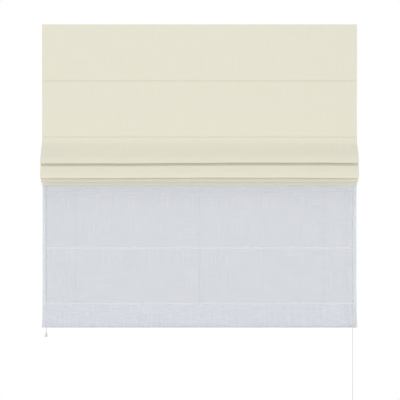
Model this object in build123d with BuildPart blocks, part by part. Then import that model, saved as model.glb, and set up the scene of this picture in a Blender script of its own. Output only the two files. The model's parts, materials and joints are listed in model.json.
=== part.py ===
# Double roman blind for a window: a cream cloth in front, half raised in soft folds,
# and a sheer cloth let down behind it. Both hang from one aluminium head rail with two
# channels, on two wall brackets. +Z is up, the front faces -Y, and the wall is the plane
# Y = 0. The origin is the centre of the four wall screw holes. Sizes are in millimetres.
import os

from build123d import *

os.makedirs("parts", exist_ok=True)

# The two cloths
front_width = 1300
front_thickness = 1.2
sheer_overhang = 6
sheer_thickness = 0.6
panel_drop = 232
tuck_depth = 3.6
tuck_rise = 8
tuck_fall = 4
tuck_radius = 1.5
rods_per_cloth = 5

# Folds of the front cloth below its second seam
stack_drop = 201
loop_reach = 50
fold_width = 6
crest_setback = 1.6
bulge_radius = 24
fold_radius_share = 0.36
soft_radius_share = 0.14

# Lower end of the sheer cloth
sheer_first_drop = 229.5
sheer_hem_height = 88
sheer_hem_lead = 10
sheer_hem_kick = 20
sheer_hem_straight = 30
sheer_hem_bend_share = 0.95
sheer_top_gap = 1

# Rods, hem bars and their sewn pockets
front_rod_r = 2
sheer_rod_r = 1.5
rod_inset = 5
rod_gap = 0.3
front_pocket_wall = 0.8
sheer_pocket_wall = 0.5
pocket_web = 1.6
pocket_break = 18
hem_forward = 2
hem_bar_height = 20
hem_bar_thickness = 3
hem_bar_inset = 10
sheer_bar_r = 3

# Cord rings on the rods
ring_wall = 1.1
ring_bore_gap = 0.05
ring_collar_length = 5
ring_plate = 3
ring_rim = 1.4
ring_eye_r = 1.6
ring_neck_width = 4

# Wall brackets
bracket_inset = 198
bracket_width = 40
plate_thickness = 2.5
plate_below = 18
arm_top = 20
arm_thickness = 2.5
arm_overhang = 4
bracket_radius = 3
screw_spacing = 18
screw_hole_r = 2.5
screw_head_room = 4
cloth_above_arm = 1

# Head rail
rail_inset = 2
rail_wall = 1.6
rail_height = 30
channel_width = 17.2
sheer_gap = 25.8
lip_width = 3
slot_width = 16
slot_height = 3
slot_lip = 3.2
foot_thickness = 2.4
slide_gap = 0.2
foot_gap = 0.4
cap_thickness = 2
cap_plug_length = 10

# Hook tape on the rail and loop tape on the cloth
tape_thickness = 2
tape_height = 20
tape_inset = 4

# Lift cords, their guides and pulleys
cord_r = 0.55
cord_inset = 128
cord_pitch = 3.5
cord_gap = 0.3
cord_knot_r = 2
groove_r = 5
flange_r = 7
rim_thickness = 0.8
pulley_width = 4
axle_r = 1.2
axle_gap = 0.05
guide_length = 26
base_thickness = 2.4
cheek_length = 10
cheek_thickness = 2
cheek_gap = 0.4
cheek_above_axle = 3
guide_hole_r = 1.8
wheel_floor_gap = 0.6

# Cord locks at the ends of the rail
front_pull_inset = 14
sheer_pull_inset = 5
lock_length = 46
lock_wall = 1.6
lock_top_gap = 0.6
roller_width = 12
roller_end_gap = 0.2
nozzle_r = 4
nozzle_bore_r = 2.2
nozzle_drop = 2.6
strand_pitch = 1.15
strand_turn_radius = 5
strand_lead = 1.2
pawl_reach = 12
pawl_rise = 3.4
pawl_boss_r = 2.4
pawl_tip_r = 1.8
pawl_tip_gap = 0.45
pawl_width = 9.4

# Pull cords and their bell-shaped pulls
pull_cord_r = 1.2
front_pull_drop = 1580
sheer_pull_drop = 1278
bell_height = 20
bell_r = 6.4
bell_bore_gap = 0.2
knot_room_r = 3.2
knot_r = 2.5

# Lengths and places that follow from the sizes above
sheer_width = front_width + 2 * sheer_overhang
rail_length = front_width - 2 * rail_inset
rail_half = rail_length / 2
bracket_spacing = rail_length - 2 * bracket_inset
cord_span = rail_half - cord_inset
front_pull_x = rail_half - front_pull_inset
sheer_pull_x = sheer_pull_inset - rail_half
cloth_top = arm_top + cloth_above_arm
arm_bottom = arm_top - arm_thickness
slot_lip_top = arm_bottom - slide_gap
slot_lip_bottom = slot_lip_top - rail_wall
slot_floor = slot_lip_bottom - slot_height
roof = slot_floor - rail_wall
rail_bottom = slot_floor - rail_height
lip_top = rail_bottom + rail_wall
base_top = lip_top + base_thickness
wheel_z = base_top + wheel_floor_gap + flange_r
run_radius = groove_r + cord_r + cord_gap
run_z = wheel_z + run_radius
rail_depth = 4 * rail_wall + 2 * channel_width + sheer_gap
rail_back = -plate_thickness - screw_head_room
rail_front = rail_back - rail_depth
rail_middle = rail_back - rail_depth / 2
sheer_wall = rail_back - 2 * rail_wall - channel_width
tape_middle = slot_floor - rail_height / 2
body_width = channel_width - 2 * slide_gap

# Back face of each cloth, and the middle of the channel behind it
front_back = rail_front - 2 * tape_thickness
sheer_back = sheer_wall - 2 * tape_thickness
cord_setback = 2 * tape_thickness + rail_wall + channel_width / 2
front_middle = front_back + cord_setback
sheer_middle = sheer_back + cord_setback
cord_places = [-cord_span, 0, cord_span]
cord_steps = [-cord_pitch, 0, cord_pitch]

# How far the rod of each cloth stands behind the middle of the cloth
front_collar_r = front_rod_r + ring_wall
sheer_collar_r = sheer_rod_r + ring_wall
front_rod_offset = front_thickness / 2 + front_collar_r + rod_gap
sheer_rod_offset = sheer_thickness / 2 + sheer_collar_r + rod_gap
front_pocket_r = front_rod_r + rod_gap
sheer_pocket_r = sheer_rod_r + rod_gap

along_y = (90, 0, 0)
along_x = (0, 90, 0)
low = (Align.CENTER, Align.CENTER, Align.MIN)
high = (Align.CENTER, Align.CENTER, Align.MAX)


def save(piece, label):
    piece.part.label = label
    export_step(piece.part, f"parts/{label}.step")


def front_point(forward, drop):
    """Point of the front cloth's section, from its back face forward and from its top down."""
    return (front_back - forward, cloth_top - drop)


def sheer_point(forward, drop):
    """Point of the sheer cloth's section, counted in the same way."""
    return (sheer_back - forward, cloth_top - drop)


# Head rail: a double channel with a slot on top for the feet of the brackets
wall_places = [
    rail_front,
    rail_front + rail_wall + channel_width,
    sheer_wall,
    rail_back - rail_wall,
]
lip_places = [
    (rail_front + rail_wall, Align.MIN),
    (rail_front + rail_wall + channel_width, Align.MAX),
    (sheer_wall + rail_wall, Align.MIN),
    (rail_back - rail_wall, Align.MAX),
]
with BuildPart() as headrail:
    with BuildSketch(Plane.YZ):
        with Locations((rail_middle, slot_floor)):
            Rectangle(rail_depth, rail_wall, align=(Align.CENTER, Align.MAX))
        with Locations(*[(place, slot_floor) for place in wall_places]):
            Rectangle(rail_wall, rail_height, align=(Align.MIN, Align.MAX))
        for place, side in lip_places:
            with Locations((place, rail_bottom)):
                Rectangle(lip_width, rail_wall, align=(side, Align.MIN))
        with Locations((rail_middle, slot_floor)):
            Rectangle(
                slot_width + 2 * rail_wall,
                slot_height + rail_wall,
                align=(Align.CENTER, Align.MIN),
            )
            Rectangle(
                slot_width,
                slot_height,
                align=(Align.CENTER, Align.MIN),
                mode=Mode.SUBTRACT,
            )
            Rectangle(
                slot_width - 2 * slot_lip,
                slot_height + rail_wall,
                align=(Align.CENTER, Align.MIN),
                mode=Mode.SUBTRACT,
            )
    extrude(amount=rail_half, both=True)
save(headrail, "headrail")

# End caps: plates over the two channels, open where the sheer cloth hangs
for side, label in ((-1, "end_cap_left"), (1, "end_cap_right")):
    rail_end = side * rail_half
    with BuildPart() as end_cap:
        with BuildSketch(Plane.YZ.offset(rail_end)):
            with Locations((rail_middle, slot_floor)):
                Rectangle(rail_depth, rail_height, align=(Align.CENTER, Align.MAX))
                Rectangle(
                    slot_width + 2 * rail_wall,
                    slot_height + rail_wall,
                    align=(Align.CENTER, Align.MIN),
                )
            with Locations((sheer_wall, roof)):
                Rectangle(
                    sheer_gap,
                    rail_height,
                    align=(Align.MAX, Align.MAX),
                    mode=Mode.SUBTRACT,
                )
        extrude(amount=side * cap_thickness)
        with BuildSketch(Plane.YZ.offset(rail_end)):
            with Locations((rail_middle, slot_lip_bottom)):
                Rectangle(
                    slot_width - 2 * foot_gap,
                    foot_thickness,
                    align=(Align.CENTER, Align.MAX),
                )
        extrude(amount=-side * cap_plug_length)
    save(end_cap, label)

# Wall brackets: a plate with two screw holes, an arm, and a foot that carries the rail
arm_reach = -rail_middle + slot_width / 2 + arm_overhang
for side, label in ((-1, "bracket_left"), (1, "bracket_right")):
    bracket_x = side * bracket_spacing / 2
    with BuildPart() as bracket:
        with BuildSketch(Plane.YZ.offset(bracket_x)):
            with Locations((0, arm_top)):
                Rectangle(plate_thickness, arm_top + plate_below, align=(Align.MAX, Align.MAX))
                Rectangle(arm_reach, arm_thickness, align=(Align.MAX, Align.MAX))
            with Locations((rail_middle, slot_lip_bottom)):
                Rectangle(
                    slot_width - 2 * foot_gap,
                    foot_thickness,
                    align=(Align.CENTER, Align.MAX),
                )
                Rectangle(
                    slot_width - 2 * slot_lip - 2 * foot_gap,
                    arm_bottom - slot_lip_bottom,
                    align=(Align.CENTER, Align.MIN),
                )
        extrude(amount=bracket_width / 2, both=True)
        fillet(
            bracket.edges().filter_by(Axis.Y).sort_by(Axis.Z)[:2],
            radius=bracket_radius,
        )
        with Locations(
            Location((bracket_x, 0, screw_spacing / 2), along_y),
            Location((bracket_x, 0, -screw_spacing / 2), along_y),
        ):
            Cylinder(screw_hole_r, 2 * plate_thickness, mode=Mode.SUBTRACT)
    save(bracket, label)

# Hook tape on the rail and loop tape sewn to the top of each cloth
for cloth, seat in (("front", rail_front), ("sheer", sheer_wall)):
    for layer, kind in enumerate(("hook", "loop")):
        with BuildPart() as tape:
            with Locations((0, seat - layer * tape_thickness, tape_middle)):
                Box(
                    rail_length - 2 * tape_inset,
                    tape_thickness,
                    tape_height,
                    align=(Align.CENTER, Align.MAX, Align.CENTER),
                )
        save(tape, f"{cloth}_{kind}_tape")


# Front cloth: shares of the loop's reach and of the stack's drop, down the folds
seam_drops = [panel_drop, 2 * panel_drop]
stack_top = seam_drops[-1]
flat_middle = front_thickness / 2
bulge_shares = [(0.012, 0.124), (0.82, 0.413)]
loop_face_shares = [
    [],
    [(0.52, 0.572), (0.74, 0.692), (0.96, 0.776)],
    [(0.64, 0.876)],
]
loop_reach_shares = [1, 1.02, 0.56]
loop_bottom_shares = [0.549, 0.854, 0.929]
crest_shares = [0.194, 0.378, 0.507]
hem_share = (0.012, 0.677)
crest_drops = [stack_top + share * stack_drop for share in crest_shares]
hem_bottom = stack_top + stack_drop
fold_radius = fold_width * fold_radius_share
soft_radius = loop_reach * soft_radius_share

fold_points = [(flat_middle, 0)]
fold_radii = []
for seam in seam_drops:
    fold_points += [
        (flat_middle, seam - tuck_rise),
        (flat_middle - tuck_depth, seam),
        (flat_middle, seam + tuck_fall),
    ]
    fold_radii += [tuck_radius, tuck_radius, tuck_radius]
for reach_share, drop_share in bulge_shares:
    fold_points.append((loop_reach * reach_share, stack_top + stack_drop * drop_share))
    fold_radii.append(bulge_radius)
for loop in range(len(crest_shares)):
    for reach_share, drop_share in loop_face_shares[loop]:
        fold_points.append((loop_reach * reach_share, stack_top + stack_drop * drop_share))
        fold_radii.append(soft_radius)
    loop_front = loop_reach * loop_reach_shares[loop]
    loop_bottom = stack_top + stack_drop * loop_bottom_shares[loop]
    fold_points += [
        (loop_front, loop_bottom),
        (loop_front - fold_width, loop_bottom),
        (-crest_setback, crest_drops[loop]),
        (-crest_setback - fold_width, crest_drops[loop]),
    ]
    fold_radii += [fold_radius] * len(("front", "back", "rise", "fall"))
fold_points.append((loop_reach * hem_share[0], stack_top + stack_drop * hem_share[1]))
fold_radii.append(bulge_radius)
fold_points.append((flat_middle + hem_forward, hem_bottom - front_thickness / 2))

# Rods of the front cloth: two hang behind the seams, three lie on the crests of the folds
front_rod_places = [(flat_middle - tuck_depth - front_rod_offset, seam) for seam in seam_drops]
for drop in crest_drops:
    front_rod_places.append((-crest_setback - fold_width / 2, drop - front_rod_offset))
rods_on_seams = len(seam_drops)
hem_pocket_depth = hem_bar_thickness + 2 * rod_gap
hem_pocket_height = hem_bar_height + 2 * rod_gap
hem_outer_height = hem_pocket_height + 2 * front_thickness
hem_outer_depth = hem_pocket_depth + 2 * front_thickness
hem_face = flat_middle + hem_forward + front_thickness / 2
hem_middle = hem_face - hem_outer_depth / 2

with BuildPart() as front_fabric:
    with BuildSketch(Plane.YZ):
        with BuildLine() as front_line:
            FilletPolyline(*[front_point(*point) for point in fold_points], radius=fold_radii)
        trace(line_width=front_thickness)
        for number, place in enumerate(front_rod_places):
            with Locations(front_point(*place)):
                Circle(front_pocket_r + front_pocket_wall)
                if number < rods_on_seams:
                    Rectangle(front_rod_offset, pocket_web, align=(Align.MAX, Align.CENTER))
                else:
                    Rectangle(pocket_web, front_rod_offset, align=(Align.CENTER, Align.MAX))
                Circle(front_pocket_r, mode=Mode.SUBTRACT)
        with Locations(front_point(hem_middle, hem_bottom)):
            Rectangle(hem_outer_depth, hem_outer_height, align=(Align.CENTER, Align.MIN))
        with Locations(front_point(hem_middle, hem_bottom - front_thickness)):
            Rectangle(
                hem_pocket_depth,
                hem_pocket_height,
                align=(Align.CENTER, Align.MIN),
                mode=Mode.SUBTRACT,
            )
    extrude(amount=front_width / 2, both=True)
    pocket_reach = front_collar_r + 2 * rod_gap
    for number, place in enumerate(front_rod_places):
        rod_y, rod_z = front_point(*place)
        cut_to = front_rod_offset - front_thickness / 2 - rod_gap / 3
        for cord_x in cord_places:
            if number < rods_on_seams:
                with Locations((cord_x, rod_y - cut_to, rod_z)):
                    Box(
                        pocket_break,
                        cut_to + pocket_reach,
                        2 * pocket_reach,
                        align=(Align.CENTER, Align.MIN, Align.CENTER),
                        mode=Mode.SUBTRACT,
                    )
            else:
                with Locations((cord_x, rod_y, rod_z - cut_to)):
                    Box(
                        pocket_break,
                        2 * pocket_reach,
                        cut_to + pocket_reach,
                        align=low,
                        mode=Mode.SUBTRACT,
                    )
save(front_fabric, "front_fabric")
print("front cloth's cut length", round(front_line.wire().length, 1))

# Sheer cloth: flat, with five rod pockets and a double hem that swings a little forward
sheer_flat = sheer_thickness / 2
sheer_rod_drops = [sheer_first_drop + number * panel_drop for number in range(rods_per_cloth)]
sheer_hem_top = sheer_rod_drops[-1] + sheer_hem_lead
sheer_bottom = sheer_hem_top + sheer_hem_height
sheer_hem_fall = sheer_hem_height - sheer_hem_straight
sheer_hem_slope = (sheer_hem_fall**2 + sheer_hem_kick**2) ** 0.5
sheer_hem_bend = sheer_hem_straight * sheer_hem_bend_share
sheer_hem_radius = sheer_hem_bend * (sheer_hem_fall + sheer_hem_slope) / sheer_hem_kick
sheer_top = cloth_top - roof + sheer_top_gap
sheer_rod_back = sheer_flat - sheer_rod_offset
sheer_bar_pocket = sheer_bar_r + rod_gap
sheer_bar_outer = sheer_bar_pocket + sheer_pocket_wall
sheer_bar_forward = sheer_hem_kick + sheer_thickness - sheer_bar_outer
sheer_bar_drop = sheer_bottom - sheer_bar_outer

with BuildPart() as sheer_fabric:
    with BuildSketch(Plane.YZ):
        with BuildLine():
            Line(
                sheer_point(sheer_flat, sheer_top),
                sheer_point(sheer_flat, sheer_hem_top),
            )
        trace(line_width=sheer_thickness)
        with BuildLine() as sheer_hem_line:
            FilletPolyline(
                sheer_point(0, sheer_hem_top),
                sheer_point(0, sheer_hem_top + sheer_hem_straight),
                sheer_point(sheer_hem_kick, sheer_bottom),
                radius=sheer_hem_radius,
            )
        trace(line_width=2 * sheer_thickness)
        for drop in sheer_rod_drops:
            with Locations(sheer_point(sheer_rod_back, drop)):
                Circle(sheer_pocket_r + sheer_pocket_wall)
                Rectangle(sheer_rod_offset, pocket_web, align=(Align.MAX, Align.CENTER))
                Circle(sheer_pocket_r, mode=Mode.SUBTRACT)
        with Locations(sheer_point(sheer_bar_forward, sheer_bar_drop)):
            Circle(sheer_bar_outer)
            Circle(sheer_bar_pocket, mode=Mode.SUBTRACT)
    extrude(amount=sheer_width / 2, both=True)
    sheer_reach = sheer_collar_r + 2 * rod_gap
    sheer_cut = sheer_rod_offset - sheer_thickness / 2 - rod_gap / 3
    for drop in sheer_rod_drops:
        rod_y, rod_z = sheer_point(sheer_rod_back, drop)
        with Locations(*[(cord_x, rod_y - sheer_cut, rod_z) for cord_x in cord_places]):
            Box(
                pocket_break,
                sheer_cut + sheer_reach,
                2 * sheer_reach,
                align=(Align.CENTER, Align.MIN, Align.CENTER),
                mode=Mode.SUBTRACT,
            )
save(sheer_fabric, "sheer_fabric")
sheer_cut_length = sheer_hem_top - sheer_top + 2 * sheer_hem_line.wire().length
print("sheer cloth's cut length", round(sheer_cut_length, 1))


# Rods with their cord rings
def make_rod(rod_y, rod_z, rod_r, length, label):
    with BuildPart() as rod:
        with Locations(Location((0, rod_y, rod_z), along_x)):
            Cylinder(rod_r, length)
        chamfer(rod.edges(), length=rod_r / 4)
    save(rod, label)


def make_rings(rod_y, rod_z, rod_r, cord_middle, label):
    """Three clips on a rod, each with a long eye round its lift cord."""
    eye_outer = 2 * (ring_eye_r + ring_rim)
    with BuildPart() as rings:
        for cord_x in cord_places:
            with Locations(Location((cord_x, rod_y, rod_z), along_x)):
                Cylinder(rod_r + ring_wall, ring_collar_length)
            with BuildSketch(Plane.XY.offset(rod_z - ring_plate / 2)):
                with Locations(Location((cord_x, cord_middle), 90)):
                    SlotCenterToCenter(2 * cord_pitch, eye_outer)
                with Locations((cord_x, rod_y)):
                    Rectangle(
                        ring_neck_width,
                        cord_middle - rod_y - cord_pitch,
                        align=(Align.CENTER, Align.MIN),
                    )
                with Locations(Location((cord_x, cord_middle), 90)):
                    SlotCenterToCenter(2 * cord_pitch, 2 * ring_eye_r, mode=Mode.SUBTRACT)
            extrude(amount=ring_plate)
            with Locations(Location((cord_x, rod_y, rod_z), along_x)):
                Cylinder(rod_r + ring_bore_gap, 2 * ring_collar_length, mode=Mode.SUBTRACT)
    save(rings, label)


for number, place in enumerate(front_rod_places, start=1):
    rod_y, rod_z = front_point(*place)
    make_rod(rod_y, rod_z, front_rod_r, front_width - 2 * rod_inset, f"front_rod_{number}")
    make_rings(rod_y, rod_z, front_rod_r, front_middle, f"front_rings_{number}")
for number, drop in enumerate(sheer_rod_drops, start=1):
    rod_y, rod_z = sheer_point(sheer_rod_back, drop)
    make_rod(rod_y, rod_z, sheer_rod_r, sheer_width - 2 * rod_inset, f"sheer_rod_{number}")
    make_rings(rod_y, rod_z, sheer_rod_r, sheer_middle, f"sheer_rings_{number}")

# Hem bars: a flat bar in the front cloth and a round one in the sheer cloth
bar_y, bar_z = front_point(hem_middle, hem_bottom - front_thickness - rod_gap)
with BuildPart() as front_hem_bar:
    with Locations((0, bar_y, bar_z)):
        Box(front_width - 2 * hem_bar_inset, hem_bar_thickness, hem_bar_height, align=low)
    fillet(front_hem_bar.edges().filter_by(Axis.X), radius=hem_bar_thickness / 4)
save(front_hem_bar, "front_hem_bar")
make_rod(
    *sheer_point(sheer_bar_forward, sheer_bar_drop),
    sheer_bar_r,
    sheer_width - 2 * hem_bar_inset,
    "sheer_hem_bar",
)


# Grooved wheels, each in one piece with its axle along Y
def make_wheel(wheel_x, wheel_y, width, axle_length, label):
    core = width - 2 * rim_thickness
    profile = [
        (0, -axle_length / 2),
        (axle_r, -axle_length / 2),
        (axle_r, -width / 2),
        (flange_r, -width / 2),
        (flange_r, -width / 2 + rim_thickness / 2),
        (groove_r, -core / 2),
        (groove_r, core / 2),
        (flange_r, width / 2 - rim_thickness / 2),
        (flange_r, width / 2),
        (axle_r, width / 2),
        (axle_r, axle_length / 2),
        (0, axle_length / 2),
    ]
    with BuildPart() as wheel:
        with BuildSketch(Plane((wheel_x, wheel_y, wheel_z))):
            with BuildLine():
                Polyline(*profile, close=True)
            make_face()
        revolve(axis=Axis((wheel_x, wheel_y, wheel_z), (0, 1, 0)))
    save(wheel, label)


# Cord guides: a base on the lips of the channel and two cheeks that hold the pulley
def make_guide(cord_x, cord_y, middle, toward, label):
    wheel_x = cord_x + toward * run_radius
    cheek_height = wheel_z + cheek_above_axle - base_top
    cheek_step = pulley_width / 2 + cheek_gap + cheek_thickness / 2
    with BuildPart() as guide:
        with Locations((wheel_x, middle, lip_top)):
            Box(guide_length, body_width, base_thickness, align=low)
        with Locations(
            (wheel_x, cord_y - cheek_step, base_top),
            (wheel_x, cord_y + cheek_step, base_top),
        ):
            Box(cheek_length, cheek_thickness, cheek_height, align=low)
        with Locations((cord_x, cord_y, base_top)):
            Cylinder(guide_hole_r, 2 * base_thickness, mode=Mode.SUBTRACT)
        with Locations(Location((wheel_x, cord_y, wheel_z), along_y)):
            Cylinder(axle_r + axle_gap, 4 * cheek_step, mode=Mode.SUBTRACT)
    save(guide, label)


# Cord lock: an open tray on the lips, with a nozzle where the cords leave together
def make_lock(pull_x, middle, toward, label):
    tray_end = toward * (rail_half - slide_gap)
    tray_side = Align.MAX if toward > 0 else Align.MIN
    tray_height = roof - lock_top_gap - lip_top
    roller_x = pull_x - toward * run_radius
    with BuildPart() as housing:
        with Locations((tray_end, middle, lip_top)):
            Box(lock_length, body_width, tray_height, align=(tray_side, Align.CENTER, Align.MIN))
        with Locations((tray_end - toward * lock_wall, middle, base_top)):
            Box(
                lock_length,
                body_width - 2 * lock_wall,
                tray_height,
                align=(tray_side, Align.CENTER, Align.MIN),
                mode=Mode.SUBTRACT,
            )
        with Locations((pull_x, middle, lip_top)):
            Cylinder(nozzle_r, nozzle_drop, align=high)
        with Locations((pull_x, middle, lip_top)):
            Cylinder(nozzle_bore_r, 4 * base_thickness, mode=Mode.SUBTRACT)
        with Locations(
            Location((roller_x, middle, wheel_z), along_y),
            Location((roller_x - toward * pawl_reach, middle, pawl_z), along_y),
        ):
            Cylinder(axle_r + axle_gap, 2 * body_width, mode=Mode.SUBTRACT)
    save(housing, label)


# Pawl: a toothed nose that drops on the cords over the roller
pawl_tip_z = run_z + cord_r + pawl_tip_gap + pawl_tip_r
pawl_z = pawl_tip_z + pawl_rise
pin_length = body_width - 2 * slide_gap


def make_pawl(pull_x, middle, toward, label):
    tip_x = pull_x - toward * run_radius
    with BuildPart() as pawl:
        with BuildSketch(Plane.XZ.offset(-middle)):
            with Locations((tip_x - toward * pawl_reach, pawl_z)):
                Circle(pawl_boss_r)
            with Locations((tip_x, pawl_tip_z)):
                Circle(pawl_tip_r)
            make_hull()
        extrude(amount=pawl_width / 2, both=True)
        with Locations(Location((tip_x - toward * pawl_reach, middle, pawl_z), along_y)):
            Cylinder(axle_r, pin_length)
    save(pawl, label)


# Lift cords: up from the lowest rod, over a pulley, along the channel and over the roller
def make_lift_cords(pull_x, middle, toward, ring_z, label):
    knot_z = ring_z - ring_plate / 2 - cord_gap - cord_knot_r
    strand_z = wheel_z - strand_lead
    with BuildPart() as cords:
        for cord_x, step in zip(cord_places, cord_steps):
            cord_y = middle + step
            strand_y = middle + step * strand_pitch / cord_pitch
            route = [
                (cord_x, cord_y, knot_z),
                (cord_x, cord_y, run_z),
                (pull_x, cord_y, run_z),
            ]
            radii = [run_radius, run_radius]
            if step:
                route.append((pull_x, cord_y, strand_z))
                radii.append(strand_turn_radius)
            route.append((pull_x, strand_y, base_top))
            with BuildLine() as line:
                FilletPolyline(*route, radius=radii)
            with BuildSketch(Plane(route[0])):
                Circle(cord_r)
            sweep(path=line.line)
            with Locations(route[0]):
                Sphere(cord_knot_r)
    save(cords, label)


# Pull cord: the lift cords together, straight down to a knot inside the pull
def make_pull_cord(pull_x, middle, pull_top, label):
    knot_z = pull_top - bell_height * bell_room_share - knot_r - bell_bore_gap
    with BuildPart() as cord:
        with Locations((pull_x, middle, base_top)):
            Cylinder(pull_cord_r, base_top - knot_z, align=high)
        with Locations((pull_x, middle, knot_z)):
            Sphere(knot_r)
    save(cord, label)


# Bell-shaped pull with a bore for the cord and room for its knot
bell_room_share = 0.5
bell_neck_share = 0.42
bell_waist_shares = (0.62, 0.45)
bell_lip_share = 0.9


def make_pull(pull_x, middle, pull_top, label):
    bore = pull_cord_r + bell_bore_gap
    with BuildPart() as pull:
        with BuildSketch(Plane.XZ.offset(-middle)):
            with BuildLine():
                Polyline(
                    (pull_x + bell_r * bell_lip_share, pull_top - bell_height),
                    (pull_x + knot_room_r, pull_top - bell_height),
                    (pull_x + knot_room_r, pull_top - bell_height * bell_room_share),
                    (pull_x + bore, pull_top - bell_height * bell_room_share),
                    (pull_x + bore, pull_top),
                    (pull_x + bell_r * bell_neck_share, pull_top),
                )
                Spline(
                    (pull_x + bell_r * bell_neck_share, pull_top),
                    (
                        pull_x + bell_r * bell_waist_shares[0],
                        pull_top - bell_height * bell_waist_shares[1],
                    ),
                    (pull_x + bell_r, pull_top - bell_height * bell_lip_share),
                )
                Line(
                    (pull_x + bell_r, pull_top - bell_height * bell_lip_share),
                    (pull_x + bell_r * bell_lip_share, pull_top - bell_height),
                )
            make_face()
        revolve(axis=Axis((pull_x, middle, 0), (0, 0, 1)))
    save(pull, label)


# The lifting gear of both cloths: the front one pulls at the right, the sheer one at the left
front_low_ring = front_point(*front_rod_places[-1])[1]
sheer_low_ring = cloth_top - sheer_rod_drops[-1]
for cloth, middle, toward, pull_x, pull_drop, low_ring in (
    ("front", front_middle, 1, front_pull_x, front_pull_drop, front_low_ring),
    ("sheer", sheer_middle, -1, sheer_pull_x, sheer_pull_drop, sheer_low_ring),
):
    axle_length = pulley_width + 2 * (cheek_gap + cheek_thickness)
    for number, (cord_x, step) in enumerate(zip(cord_places, cord_steps), start=1):
        cord_y = middle + step
        make_guide(cord_x, cord_y, middle, toward, f"{cloth}_guide_{number}")
        wheel_x = cord_x + toward * run_radius
        make_wheel(wheel_x, cord_y, pulley_width, axle_length, f"{cloth}_pulley_{number}")
    make_lock(pull_x, middle, toward, f"{cloth}_lock_housing")
    make_wheel(
        pull_x - toward * run_radius,
        middle,
        roller_width,
        body_width - 2 * roller_end_gap,
        f"{cloth}_lock_roller",
    )
    make_pawl(pull_x, middle, toward, f"{cloth}_lock_pawl")
    make_lift_cords(pull_x, middle, toward, low_ring, f"{cloth}_lift_cords")
    make_pull_cord(pull_x, middle, cloth_top - pull_drop, f"{cloth}_pull_cord")
    make_pull(pull_x, middle, cloth_top - pull_drop, f"{cloth}_pull")
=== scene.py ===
# %% [markdown]
# # A double roman blind
# A roman blind is a cloth with thin rods sewn across its back. Cords run up through rings on the rods, so
# that pulling the cords gathers the cloth into loops. This one is double: an opaque cream cloth hangs half
# raised in front, and a sheer one hangs all the way down behind it. The hard parts come from the CAD frame.
# This script dresses them, and makes the cloths and cords, which a solid model can't show well.

# %% Load the frame
import json
import math

import bpy
import numpy as np
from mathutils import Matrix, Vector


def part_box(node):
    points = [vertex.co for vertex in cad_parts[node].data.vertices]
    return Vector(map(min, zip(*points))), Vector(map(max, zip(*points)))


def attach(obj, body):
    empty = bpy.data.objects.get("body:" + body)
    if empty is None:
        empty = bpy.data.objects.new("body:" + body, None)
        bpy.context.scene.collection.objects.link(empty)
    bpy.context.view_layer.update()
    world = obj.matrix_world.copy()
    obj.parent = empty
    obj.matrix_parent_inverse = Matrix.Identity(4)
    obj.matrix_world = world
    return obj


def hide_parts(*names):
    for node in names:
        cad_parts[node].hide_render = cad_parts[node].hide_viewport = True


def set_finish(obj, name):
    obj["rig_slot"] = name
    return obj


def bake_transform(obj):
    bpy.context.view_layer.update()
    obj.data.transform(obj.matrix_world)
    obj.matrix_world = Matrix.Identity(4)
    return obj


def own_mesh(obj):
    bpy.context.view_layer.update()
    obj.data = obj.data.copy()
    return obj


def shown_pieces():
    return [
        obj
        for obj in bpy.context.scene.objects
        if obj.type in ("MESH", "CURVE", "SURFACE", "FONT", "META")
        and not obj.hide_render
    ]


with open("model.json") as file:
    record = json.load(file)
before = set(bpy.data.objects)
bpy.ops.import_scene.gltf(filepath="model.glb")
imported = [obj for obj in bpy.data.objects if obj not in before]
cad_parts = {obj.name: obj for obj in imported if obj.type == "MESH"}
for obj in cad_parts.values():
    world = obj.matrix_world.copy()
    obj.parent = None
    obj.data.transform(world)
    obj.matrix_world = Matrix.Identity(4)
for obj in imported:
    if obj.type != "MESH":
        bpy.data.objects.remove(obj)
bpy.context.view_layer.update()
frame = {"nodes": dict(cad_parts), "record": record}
nodes = frame["nodes"]
scene = bpy.context.scene
scene.view_settings.view_transform = "Standard"

cloth_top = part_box("front_fabric")[1][2]
front_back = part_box("front_loop_tape")[0][1]
sheer_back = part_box("sheer_loop_tape")[0][1]
front_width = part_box("front_fabric")[1][0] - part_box("front_fabric")[0][0]
sheer_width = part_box("sheer_fabric")[1][0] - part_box("sheer_fabric")[0][0]
print(f"cloths {front_width:.3f} and {sheer_width:.3f} m wide, tops at {cloth_top:.3f} m")

# %% [markdown]
# ## The camera
# The blind is seen square on, at about the height of its middle. Verticals and horizontals stay parallel,
# so the camera is level. The nearer folds look a little wider than the flat cloth above them, which gives
# the camera's distance. One pixel at the cloth is then a known length, and that sets the lens.

# %% Camera
IMAGE_SIDE = 400
CLOTH_PIXELS = 314.95
CLOTH_MIDDLE_PIXEL = 199.53
CLOTH_TOP_PIXEL = 24.4
CAMERA_DISTANCE = 3.8

pixel = front_width / CLOTH_PIXELS
camera_data = bpy.data.cameras.new("room_camera")
camera_data.angle = 2 * math.atan(IMAGE_SIDE / 2 * pixel / CAMERA_DISTANCE)
camera = bpy.data.objects.new("room_camera", camera_data)
scene.collection.objects.link(camera)
camera.location = (
    (IMAGE_SIDE / 2 - CLOTH_MIDDLE_PIXEL) * pixel,
    front_back - CAMERA_DISTANCE,
    cloth_top - (IMAGE_SIDE / 2 - CLOTH_TOP_PIXEL) * pixel,
)
camera.rotation_euler = (math.radians(90), 0, 0)
scene.camera = camera
print(f"one pixel is {pixel * 1000:.2f} mm at the front cloth")

# %% [markdown]
# ## Helpers for meshes
# Every new piece here is a mesh of rows and columns: a cloth is a section line moved sideways, and a cord
# is a circle moved along a line. One function turns such points into an object with a UV map in metres
# along the cloth or cord, and the record's slot that its finish belongs to. Its faces are shaded smooth,
# but an edge near a right angle stays sharp, or the thin rim of a cloth would bend the light far into its
# flat face.


# %% Mesh helper
SHARP_ANGLE = math.radians(80)


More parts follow.
